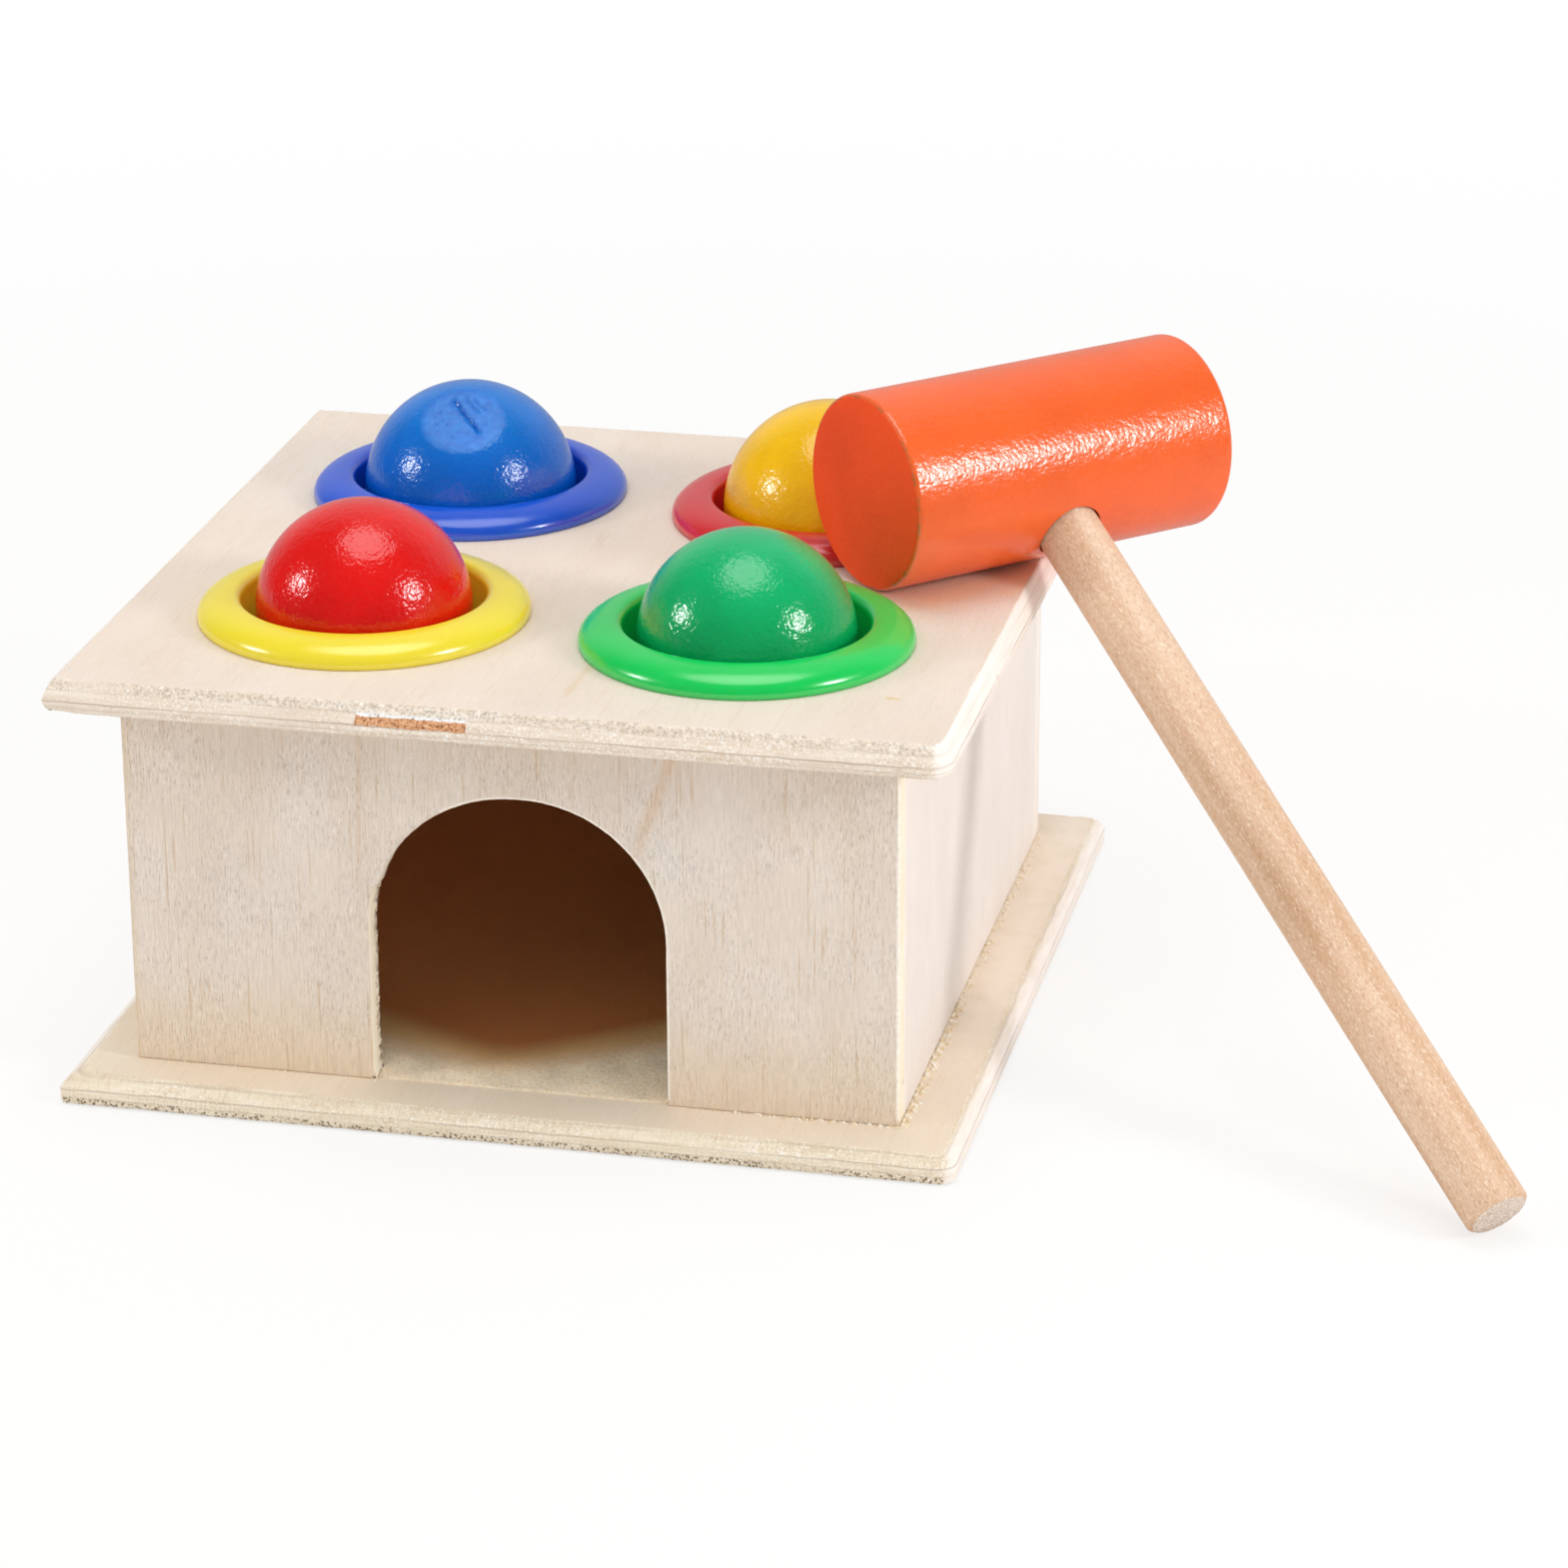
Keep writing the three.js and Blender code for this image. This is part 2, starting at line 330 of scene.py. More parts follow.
view = {
    "lens": 121.95,
    "sensor": 36,
    "azimuth": 12.656,
    "elevation": 21.696,
    "roll": -0.25,
    "distance": 717.26,
    "target": (31.308, -25.438, 39.87),
}


def addCamera():
    turn, rise, roll = (math.radians(view[key]) for key in ("azimuth", "elevation", "roll"))
    back = Vector((math.sin(turn) * math.cos(rise), -math.cos(turn) * math.cos(rise), math.sin(rise)))
    right = Vector((0, 0, 1)).cross(back).normalized()
    up = back.cross(right)
    rolledRight = right * math.cos(roll) + up * math.sin(roll)
    rolledUp = up * math.cos(roll) - right * math.sin(roll)
    lens = bpy.data.cameras.new("camera")
    lens.lens = view["lens"]
    lens.sensor_width = view["sensor"]
    lens.clip_start = 0.01
    camera = bpy.data.objects.new("camera", lens)
    spot = (Vector(view["target"]) + back * view["distance"]) * mm
    axes = Matrix((rolledRight, rolledUp, back)).transposed().to_4x4()
    camera.matrix_world = Matrix.Translation(spot) @ axes
    scene.collection.objects.link(camera)
    scene.camera = camera


addCamera()
print("camera set")


# studio: two soft boxes low at the sides, one overhead, pale floor and surround

studio = {
    "lamps": [  # name, place in mm, width in mm, watts
        ("leftBox", (-620, -285, 350), 130, 0.95),
        ("rightBox", (660, -205, 350), 170, 1.6),
        ("topBox", (20, -30, 800), 570, 1.7),
    ],
    "aim": (0, 0, 45),
    "ambient": 0.7,            # what plain surfaces get from the surround
    "mirrorFront": 0.03,       # what glossy surfaces find on the camera's side
    "mirrorBack": 0.5,         # and behind the toy
    "skyTurn": (0.15, 0.8),    # where one passes into the other in the surround
    "floorTurn": (-150, 100),  # and on the floor, in mm
    "floor": "#f4f2ef",
    "floorHalf": 3000,
    "floorDrop": 0.2,          # mm it lies below the base
    "floorWhite": 0.7,         # share of plain white at the toy
    "whiteFrom": 150,          # mm from the toy where it begins to grow to full white
    "whiteTo": 500,
}


def addLamps():
    for name, place, width, watts in studio["lamps"]:
        lamp = bpy.data.lights.new(name, "AREA")
        lamp.shape = "DISK"
        lamp.size = width * mm
        lamp.energy = watts
        holder = bpy.data.objects.new(name, lamp)
        holder.location = Vector(place) * mm
        holder.rotation_euler = (Vector(place) - Vector(studio["aim"])).to_track_quat("Z", "Y").to_euler()
        holder.visible_camera = False
        scene.collection.objects.link(holder)


def addSurround():
    world = bpy.data.worlds.new("surround")
    scene.world = world
    mix = PaintMix(world)
    depth = mix.part(mix.coords["Generated"], "Y")
    mirrored = mix.span(depth, *studio["skyTurn"], studio["mirrorFront"], studio["mirrorBack"])
    path = mix.put("ShaderNodeLightPath").outputs
    glossy = mix.calc("MAXIMUM", path["Is Glossy Ray"], path["Is Transmission Ray"])
    level = mix.between(studio["ambient"], mirrored, glossy)
    level = mix.calc("MAXIMUM", level, path["Is Camera Ray"])
    light = mix.put("ShaderNodeBackground", {"Color": "#ffffff", "Strength": level})
    mix.put("ShaderNodeOutputWorld", {"Surface": light.outputs[0]})


def floorFinish():  # paper that glows to white away from the toy
    finish, mix = newFinish("paleFloor")
    near = mix.vector("LENGTH", mix.place)
    far = mix.span(near, studio["whiteFrom"] * mm, studio["whiteTo"] * mm, studio["floorWhite"], 1.0)
    path = mix.put("ShaderNodeLightPath").outputs
    direct = mix.calc("MAXIMUM", path["Is Camera Ray"], path["Is Transmission Ray"])
    white = mix.calc("MAXIMUM", mix.times(far, direct), path["Is Glossy Ray"])
    mirrored = mix.span(mix.along("Y"), *studio["floorTurn"], studio["mirrorFront"], studio["mirrorBack"])
    level = mix.between(1.0, mirrored, path["Is Glossy Ray"])
    paper = mix.put("ShaderNodeBsdfDiffuse", {"Color": studio["floor"]})
    glow = mix.put("ShaderNodeEmission", {"Color": "#ffffff", "Strength": level})
    both = mix.put("ShaderNodeMixShader", {0: white, 1: paper.outputs[0], 2: glow.outputs[0]})
    mix.put("ShaderNodeOutputMaterial", {"Surface": both.outputs[0]})
    return finish


def addFloor():
    half = studio["floorHalf"] * mm
    mesh = bpy.data.meshes.new("floor")
    corners = [(-half, -half, 0), (half, -half, 0), (half, half, 0), (-half, half, 0)]
    mesh.from_pydata(corners, [], [(0, 1, 2, 3)])
    mesh.materials.append(floorFinish())
    floor = bpy.data.objects.new("floor", mesh)
    floor.location.z = -studio["floorDrop"] * mm
    scene.collection.objects.link(floor)


addLamps()
addSurround()
addFloor()
print("studio set")


# plywood: veneer faces and layered edges

veneer = {
    "cool": "#e2dcd9",
    # painted bounce light from the base, warming a panel's foot
    "bounceWarm": "#ecd3ae",
    "pore": "#bb9c7c",
    "pale": "#fdf6ec",
    "line": "#d0b08a",
    "band": 9.0,       # mm, width of the soft tone bands
    "drift": 22.0,     # mm, patches of a cooler tone
    "fibre": 0.2,      # mm, width of one fibre
    "lineWidth": 0.4,  # mm, cell of the long grain lines
    "curl": 0.27,      # mm, curls of raised fibre
    "depth": 0.07,     # mm of relief
}


def veneerFinish(name, grain, calm, fuzz, tones, marks=(), foot=None):
    # grain: axis the fibres run along; calm: strength of the tone bands; fuzz: strength of the torn fibres
    # tones: light, middle, dark; marks: streaks, some stains and some painted light; foot: heights in mm over
    # which painted warm bounce light from the base fades out
    finish, mix = newFinish(name)
    bands = mix.speckle(veneer["band"], 3.0, place=mix.stretched(grain, 0.3))
    colour = mix.tint(tones[1], mix.ramp(bands, (0.3, 0.5, 0.72), tones), calm)
    drift = mix.span(mix.speckle(veneer["drift"]), 0.42, 0.68, 0.0, 0.36 * calm)
    colour = mix.tint(colour, veneer["cool"], drift)
    if foot is not None:
        # painted bounce light: warmer towards the bottom
        sway = mix.times(mix.speckle(7.0, place=mix.stretched("Z", 0.4)), 9.0)
        tinge = mix.span(mix.plus(mix.along("Z"), sway), foot[0] + 4.5, foot[1] + 4.5, 0.5, 0.0)
        colour = mix.tint(colour, veneer["bounceWarm"], tinge)
    fibres = mix.speckle(veneer["fibre"], place=mix.stretched(grain, 0.06))
    colour = mix.shade(colour, mix.span(fibres, 0.3, 0.7, 1 - 0.08 * fuzz, 1 + 0.05 * fuzz))
    lines = mix.speckle(veneer["lineWidth"], 1.0, place=mix.stretched(grain, 0.02))
    broken = mix.span(mix.speckle(1.6, place=mix.stretched(grain, 0.3)), 0.4, 0.58, 0.1, 1.0)
    colour = mix.tint(colour, veneer["line"], mix.times(mix.span(lines, 0.58, 0.7), broken, 0.55 * fuzz))
    gather = mix.span(mix.speckle(11.0), 0.35, 0.62, 0.25, 1.0)
    dashes = mix.speckle(veneer["fibre"], 1.0, place=mix.stretched(grain, 0.16))
    torn = mix.times(mix.span(dashes, 0.6, 0.7), gather)
    raised = mix.times(mix.span(dashes, 0.3, 0.4, 1.0, 0.0), gather)
    colour = mix.tint(colour, veneer["pore"], mix.times(torn, 0.15 * fuzz))
    colour = mix.tint(colour, veneer["pale"], mix.times(raised, 0.55 * fuzz))
    patch = mix.span(mix.speckle(8.0), 0.48, 0.62)
    curls = mix.times(mix.span(mix.speckle(veneer["curl"], 1.0), 0.65, 0.71), patch, 0.8 * fuzz)
    colour = streaksOver(mix, mix.tint(colour, veneer["pale"], curls), marks)
    height = mix.less(mix.plus(mix.times(fibres, 0.5), curls), torn)
    mix.surface(colour, 0.62, 0.3, mix.bump(height, veneer["depth"] * fuzz))
    return finish


def streaksOver(mix, colour, marks):  # start and end in mm, width in mm, amount and colour of each streak
    for start, end, width, amount, tinge in marks:
        colour = mix.tint(colour, tinge, streak(mix, Vector(start), Vector(end), width * mm, amount))
    return colour


def streak(mix, start, end, width, amount):  # along a line, faded at its ends and broken up by noise
    along = (end - start).normalized()
    length = (end - start).length * mm
    shifted = mix.vector("SUBTRACT", mix.place, start * mm, "Vector")
    run = mix.vector("DOT_PRODUCT", shifted, along)
    onLine = mix.put("ShaderNodeVectorMath", {0: along, "Scale": run}, operation="SCALE").outputs[0]
    away = mix.plus(mix.vector("DISTANCE", shifted, onLine), mix.times(mix.speckle(4.0, 3.0), width))
    side = mix.span(away, 0.4 * width, 1.3 * width, 1.0, 0.0)
    head = mix.span(run, -0.1 * length, 0.15 * length)
    tail = mix.span(run, 0.85 * length, 1.1 * length, 1.0, 0.0)
    return mix.times(side, head, tail, amount)


plyEdge = {
    "side": ("#f2e8de", "#f9f0e8", "#fef8f2"),  # sides along the grain, dark to pale
    "end": ("#e4d3bf", "#ecddcb", "#f4e8da"),   # cut ends
    "stops": (0.28, 0.5, 0.72),
    "pale": "#fffaf2",
    "pore": "#c6aa88",
    "line": "#b39886",
    "hollow": "#775a38",
    "dot": 0.34,    # mm, size of the end-grain specks
    "cell": 0.46,   # mm, size of the open pores
    "depth": 0.13,  # mm of relief
}


def plyEdgeFinish(name, across, zero, lines, pores=None, comb=0.0, inlay=None, marks=(),
                  side=plyEdge["side"], end=plyEdge["end"]):
    # across: axis through the plies, zero its start in mm; lines: (mm above zero, strength) of glue lines
    # pores: (lowest, highest, strength) of a band of open pores; comb: strength of the saw strokes
    finish, mix = newFinish(name)
    height = mix.less(mix.along(across), zero)
    height = mix.plus(height, mix.times(mix.less(mix.speckle(6.0, 3.0), 0.5), 0.35))
    onEnd = mix.span(mix.calc("ABSOLUTE", mix.facing("X")), 0.3, 0.6, 1.0, 0.0)
    layers = mix.stretched("XYZ".replace(across, ""), 0.05)
    streaks = mix.speckle(0.4, place=layers)
    side = mix.ramp(streaks, plyEdge["stops"], side)
    end = mix.ramp(streaks, plyEdge["stops"], end)
    grains = mix.speckle(plyEdge["dot"], 2.0, 0.6)
    coarse = mix.span(mix.speckle(16.0), 0.36, 0.56, 0.35, 1.0)
    end = mix.tint(end, plyEdge["pale"], mix.times(mix.span(grains, 0.55, 0.66), coarse))
    end = mix.tint(end, plyEdge["pore"], mix.times(mix.span(grains, 0.32, 0.44, 0.42, 0.0), coarse))
    if comb:
        strokes = mix.span(mix.speckle(0.3, 1.0, place=mix.stretched("YZ", 0.15)), 0.5, 0.7)
        end = mix.tint(end, plyEdge["pore"], mix.times(strokes, comb))
    colour = mix.tint(side, end, onEnd)
    for line, strength in lines:
        near = mix.span(mix.calc("ABSOLUTE", mix.less(height, line)), 0.03, 0.14, 1.0, 0.0)
        broken = mix.span(mix.speckle(1.6, place=layers), 0.35, 0.6, 0.3 * strength, strength)
        colour = mix.tint(colour, plyEdge["line"], mix.times(near, broken))
    rough = grains
    if pores:
        low, high, dark = pores
        above = mix.span(height, low - 0.15, low + 0.15)
        below = mix.span(height, high - 0.25, high + 0.15, 1.0, 0.0)
        sockets = {"Vector": mix.place, "Scale": 1 / (plyEdge["cell"] * mm)}
        cells = mix.span(mix.put("ShaderNodeTexVoronoi", sockets).outputs["Distance"], 0.28, 0.48, 1.0, 0.0)
        spread = mix.span(mix.speckle(9.0), 0.34, 0.52, 0.35, 1.0)
        openPores = mix.times(cells, above, below, spread, onEnd)
        colour = mix.tint(colour, plyEdge["hollow"], mix.times(openPores, dark))
        rough = mix.less(grains, openPores)
    if inlay:
        x, y, z = inlay["high"]
        filler = mix.ramp(grains, (0.34, 0.42, 0.7), inlay["filler"])
        colour = mix.tint(colour, filler, inBlock(mix, inlay["low"], (x, y, z + inlay["strip"])))
        wood = mix.ramp(grains, (0.32, 0.5, 0.7), inlay["tones"])
        colour = mix.tint(colour, wood, inBlock(mix, inlay["low"], inlay["high"]))
    height = mix.plus(mix.times(rough, onEnd), mix.times(streaks, 0.2))
    mix.surface(streaksOver(mix, colour, marks), 0.72, 0.25, mix.bump(height, plyEdge["depth"]))
    return finish


def inBlock(mix, low, high):  # a block with jagged sides between two corners in mm
    jag = mix.times(mix.less(mix.speckle(0.9), 0.5), 0.5)
    tests = []
    for axis, least, most in zip("XYZ", low, high):
        value = mix.plus(mix.along(axis), jag)
        tests += [mix.calc("GREATER_THAN", value, least), mix.calc("LESS_THAN", value, most)]
    return mix.times(*tests)


def roughEdge(amount, chip, seed, last):
    # wear for a slab's edge: cut ends across the grain are rougher than the long-grain sides
    def wear(u, v, nu, nv, index):
        cutEnd = abs(nv)
        size = amount * (0.2 + 0.8 * cutEnd)
        point = Vector((u, v, index * 0.9 + seed))
        fine = noise.noise(point * 1.3) * size
        torn = max(0.0, noise.noise(point * 0.45 + Vector((7.0, 3.0, 1.0))) - 0.25) * chip * cutEnd
        lift = noise.noise(point * 0.9 + Vector((2.0, 9.0, 4.0))) * size * 0.4
        return max(-0.02, fine + torn), (lift if 0 < index < last else 0.0)
    return wear


def bevelLevels(thickness, bevelWidth, bevelDepth, steps):
    shoulder = thickness - bevelDepth
    levels = [(0.0, 0.4), (0.12, 0.12), (0.4, 0.0), (shoulder - 0.2, 0.0)]
    for i in range(1, steps):
        levels.append((shoulder + bevelDepth * i / steps, bevelWidth * i / steps))
    return levels + [(thickness - 0.04, bevelWidth + 0.02), (thickness, bevelWidth + 0.3)]


# top and base boards

topBoard = {
    "corners": (3.0, 1.6, 0.7, 3.6),
    "growth": (0, 0, 0, 0),
    "step": 0.7,
    "leftTrim": -0.35,          # mm, how far the left edge lies off the drawn one
    "bevel": (1.4, 2.75, 6),    # mm of width and of depth, and steps
    "widen": 0.0,
    "ragged": (0.1, 0.5, 3.0),  # mm of wear and of chips on the edge, and a seed
    "nose": (1.1, 0.95, 0.6),   # mm taken off the lowest levels at the front left corner
    "noseReach": 5.0,
    "holes": ("collar_blue", "collar_red", "collar_yellow", "collar_green"),
    "holeRadius": 17.85,
    "calm": 0.35,
    "fuzz": 0.3,
    "tones": ("#f2e6da", "#eadbcc", "#e2d0be"),
    "stainsAndPaintedLight": [
        ((8.0, -52.0, 60.4), (8.6, -36.0, 60.4), 1.2, 0.35, "#dcb98a"),
        ((48.9, -43.6, 60.4), (50.9, -43.8, 60.4), 0.9, 0.8, "#e2c486"),
        # painted bounce light: an orange cast on the board under the hammer head
        ((43.0, -10.0, 60.4), (60.0, 8.0, 60.4), 11.0, 0.65, "#ffd8ac"),
    ],
    "endTones": plyEdge["end"],
    "bevelLines": [(0.0, 0.75), (-0.8, 0.35)],  # glue lines counted from the foot of the bevel
    "glueLines": [(3.0, 0.2)],                  # and from the underside
    "pores": (3.0, 4.3, 0.07),
    "comb": 0.0,
    "cracks": [((60.6, -26.6, 58.3), (61.3, -25.4, 56.9), 0.55, 0.9, "#8f6640")],
    "inlay": {  # a block of other wood let into the front edge
        "low": (-17.9, -70.0, 57.72),
        "high": (-3.0, -58.0, 58.84),
        "strip": 0.45,  # mm of pale filler above it
        "tones": ("#8c5632", "#dca074", "#f0c6a0"),
        "filler": ("#8d8680", "#f3efec", "#ffffff"),
    },
}

baseBoard = {
    "corners": (3.0, 1.6, 0.9, 2.3),
    "growth": (0, 0, 2.6, 0),
    "step": 0.7,
    "leftTrim": 0.75,
    "bevel": (1.8, 1.1, 5),
    "widen": 1.3,  # mm the front bevel grows towards the left
    "ragged": (0.12, 0.5, 11.0),
    "nose": (),
    "holes": (),
    "calm": 0.3,
    "fuzz": 0.25,
    "tones": ("#f5e8d6", "#efdfc9", "#e6d2b8"),
    # painted light: a pale streak brightening the base's far right strip
    "stainsAndPaintedLight": [((57.5, -30.0, 3.5), (57.5, 66.0, 3.5), 9.0, 0.65, "#fff4e6")],
    "endTones": ("#e6d6bd", "#eee1c9", "#f7edda"),
    "bevelLines": [],
    "glueLines": [(3.3, 0.3), (2.2, 0.55), (1.1, 0.3)],
    "pores": (-0.2, 1.1, 0.8),
    "comb": 0.22,
    "cracks": [],
    "inlay": None,
}


def addBoard(node, board):
    low, high = nodeBox(node)
    thickness = high.z - low.z
    corner = (low.x + board["leftTrim"], low.y)
    levels = bevelLevels(thickness, *board["bevel"])
    last = len(levels) - 1
    rough = roughEdge(*board["ragged"], last)
    holes = []
    for seat in board["holes"]:
        middle = sum(nodeBox(seat), Vector()) / 2
        holes.append((middle.x, middle.y, board["holeRadius"]))

    def outline(inset):
        return roundedBoard(corner, high, board["corners"], board["step"], inset, board["growth"])

    def wear(u, v, nu, nv, index):
        extra, lift = rough(u, v, nu, nv, index)
        if index < len(board["nose"]):
            extra += board["nose"][index] * max(0.0, 1 - math.dist((u, v), corner) / board["noseReach"])
        rise = max(0.0, (index - 3) / (last - 3))  # the bevel begins at level 3
        return extra + board["widen"] * max(0.0, u / low.x) * max(0.0, -nv) * rise, lift

    bm, _ = slab(outline, levels, lambda u, v, w: (u, v, low.z + w), holes, wear)
    name = node.split("_")[0]
    face = veneerFinish(name + "Veneer", "Y", board["calm"], board["fuzz"], board["tones"], board["stainsAndPaintedLight"])
    foot = thickness - board["bevel"][1]
    lines = [(foot + rise, strength) for rise, strength in board["bevelLines"]] + board["glueLines"]
    edge = plyEdgeFinish(name + "PlyEdge", "Z", low.z, lines, board["pores"], board["comb"], board["inlay"],
                         board["cracks"], end=board["endTones"])
    addPiece(node + "_plywood", bm, "box", [face, edge], [node])


addBoard("top_board", topBoard)
addBoard("base_board", baseBoard)
print("boards built")


# four panels

panels = {
    "ease": 0.22,
    "step": 0.9,
    "fineStep": 0.24,   # mm along the torn side of the doorway
    "band": 0.16,       # mm of the front rubbed pale along its edges
    "wobble": 0.05,
    "tear": 2.0,        # mm, how deep the left side of the doorway is torn at the back
    "splinter": 0.6,
    "jambSlant": 0.8,   # mm the left side of the doorway is sanded off at the front
    "slantFoot": 1.5,   # mm above the base over which that fades out
    "doorWidth": 40.4,
    "doorMiddle": 1.17,
    "lintel": 10.42,
    "shoulder": 0.45,   # mm the arch swells at its right shoulder
    "archTurns": 180,
    "slit": (8.7, 9.8),  # mm, a slit between these heights at the right end
    "slitSize": (0.7, 0.5),
    "ragged": (0.06, 0.2),
    "frontTones": ("#efe4d9", "#e9dbcd", "#e2d2c2"),
    # paler tones, painted light: on the brightly lit right panel, and on the rear and left panels for more
    # light inside the box
    "paleTones": ("#f9f3ee", "#f5ece5", "#ede1d8"),
    "jambTones": ("#f8e8cc", "#fff2da", "#fffaee"),
    "sanded": ("#f4e8d8", "#fbf2e5", "#fffaf2"),
    # mm, heights over which the painted warm bounce light fades out
    "bounceLightFoot": (4.0, 20.0),
    "seam": ((52.8, -49.25, 58.0), (52.8, -49.25, 4.0), 0.4, 0.8, "#b39886"),
    "streaks": [
        ((23.4, -52.8, 56.5), (17.5, -52.8, 39.0), 1.8, 0.4, "#dcb489"),
        ((-19.8, -52.8, 56.0), (-20.6, -52.8, 30.0), 0.8, 0.3, "#cfae80"),
        ((-52.6, -52.8, 58.0), (-52.6, -52.8, 4.0), 1.2, 0.35, "#dcc096"),
    ],
}


def sandedFinish():  # the rubbed front arris of a panel
    finish, mix = newFinish("sandedArris")
    colour = mix.ramp(mix.speckle(0.5), (0.3, 0.5, 0.7), panels["sanded"])
    mix.surface(colour, 0.7, 0.25, mix.bump(mix.speckle(0.3), 0.05))
    return finish


def panelLevels(thickness):
    ease = panels["ease"]
    return [(0.0, ease), (ease * 0.3, ease * 0.3), (ease, 0.0), (thickness / 2, 0.0), (thickness - ease, 0.0),
            (thickness - ease * 0.3, ease * 0.3), (thickness, ease)]


def archOutline(low, high):  # front panel seen from the front, doorway open at the bottom
    middle, radius = panels["doorMiddle"], panels["doorWidth"] / 2
    left, right = middle - radius, middle + radius
    spring = high.z - panels["lintel"] - radius
    points = straight((low.x, low.z), (left, low.z), panels["step"])
    points += straight((left, low.z), (left, spring), panels["fineStep"])
    for i in range(panels["archTurns"]):
        angle = math.pi * (1 - i / panels["archTurns"])
        reach = radius + panels["shoulder"] * max(0.0, math.sin(2 * angle))
        points.append((middle + reach * math.cos(angle), spring + reach * math.sin(angle)))
    corners = [(right, spring), (right, low.z), (high.x, low.z)]
    corners += [(high.x, high.z), (low.x, high.z), (low.x, low.z)]
    for start, end in zip(corners, corners[1:]):
        points += straight(start, end, panels["step"])
    return points


def addFrontPanel():
    low, high = nodeBox("front_panel")
    levels = [(0.0, panels["ease"] + panels["band"])] + panelLevels(high.y - low.y)
    rear = len(levels) - 2
    arch = archOutline(low, high)

    def wear(u, v, nu, nv, index):
        extra = panels["wobble"] * noise.noise(Vector((u, v, index * 0.6 + 21.0)) * 1.1)
        lift = 0.0
        fade = min(1.0, (nu - 0.35) * 4)
        if fade > 0 and nv > -0.3 and low.x + 5 < u < 0:  # left side of the doorway
            standing = min(1.0, (v - low.z) / panels["slantFoot"])
            extra += panels["jambSlant"] * fade * (1 - index / (rear + 1)) * standing
            if index >= rear:
                coarse = noise.noise(Vector((v * 0.8, u, 8.0)))
                fine = noise.noise(Vector((v * 1.9, u * 1.5, 2.0)))
                teeth = noise.noise(Vector((v * 4.3, 3.0, 6.0)))
                lift = -panels["tear"] * fade * max(0.0, min(1.0, 0.35 + 0.5 * coarse + 0.9 * fine))
                extra -= panels["splinter"] * fade * max(-0.3, 0.5 * fine + 0.25 * coarse + 0.8 * teeth)
        atEnd = nu > 0.5 and u > high.x - 0.5
        if atEnd and index >= rear - 1 and panels["slit"][0] < v < panels["slit"][1]:
            extra += panels["slitSize"][0]
            lift = -panels["slitSize"][1]
        return extra, lift

    bm, rim = slab(lambda inset: offset(arch, inset), levels, lambda u, v, w: (u, low.y + w, v), (), wear)
    for quad in rim[:3 * len(arch)]:  # sanded at the doorway's top and right and at the right end
        middle = quad.calc_center_median()
        side = (middle.x - panels["doorMiddle"]) / panels["doorWidth"] * 2
        inDoor = -0.5 < side < 1.05 and middle.z < high.z - 2
        quad.material_index = 2 if middle.z > low.z + 0.6 and (inDoor or middle.x > high.x - 1) else 0
    face = veneerFinish("frontVeneer", "Z", 0.7, 1.0, panels["frontTones"], panels["streaks"],
                        panels["bounceLightFoot"])
    edge = plyEdgeFinish("frontPlyEdge", "Y", low.y, ((1.2, 0.15), (2.4, 0.15)), marks=[panels["seam"]],
                         side=panels["jambTones"])
    addPiece("front_panel_plywood", bm, "box", [face, edge, sandedFinish()], ["front_panel"])


def addPlainPanel(name, across, calm, fuzz):
    low, high = nodeBox(name)
    axis = "XYZ".index(across)
    levels = panelLevels(high[axis] - low[axis])
    corners = [(end[1 - axis], end.z) for end in (low, high)]
    wear = roughEdge(*panels["ragged"], 31.0 + axis, len(levels) - 1)

    def outline(inset):
        return roundedBoard(*corners, (0.3,) * 4, panels["step"], inset)

    def toSpace(u, v, w):
        return (low.x + w, u, v) if across == "X" else (u, low.y + w, v)

    bm, _ = slab(outline, levels, toSpace, (), wear)
    face = veneerFinish(name + "Veneer", "Z", calm, fuzz, panels["paleTones"])
    edge = plyEdgeFinish(name + "PlyEdge", across, low[axis], ((1.2, 0.3), (2.4, 0.3)))
    addPiece(name + "_plywood", bm, "box", [face, edge], [name])


addFrontPanel()
# the plain panels take the paler tones: painted light on the lit right side and inside the box
addPlainPanel("rear_panel", "Y", 0.7, 0.9)
addPlainPanel("left_panel", "X", 0.7, 0.9)
addPlainPanel("right_panel", "X", 0.4, 0.35)
print("panels built")


# sloping floor of fibreboard

slope = {
    "edge": 0.25,
    "rise": 14.0,
    "thickness": 2.5,
    "tongueGap": 0.06,
    "step": 0.8,
    "ragged": (0.22, 0.15),    # mm, long and short waves of the lip
    "tones": ("#e8cda0", "#fcebd0", "#fff2dc"),
    "hair": "#e8dcc4",
    # painted shade inside the doorway: a soft shadow edge, then dark brown shade, redder further back
    "shadowPenumbra": "#deae70",
    "deep": "#c07a48",
    "far": "#f9a060",
    "worn": (-3.9, -45.8),     # mm, the tip of the painted shadow's V before it is rounded
    "fallBack": (0.46, 0.62),  # how it falls back to the left and to the right of there
    "roundTip": 4.5,           # mm the tip is rounded by
}


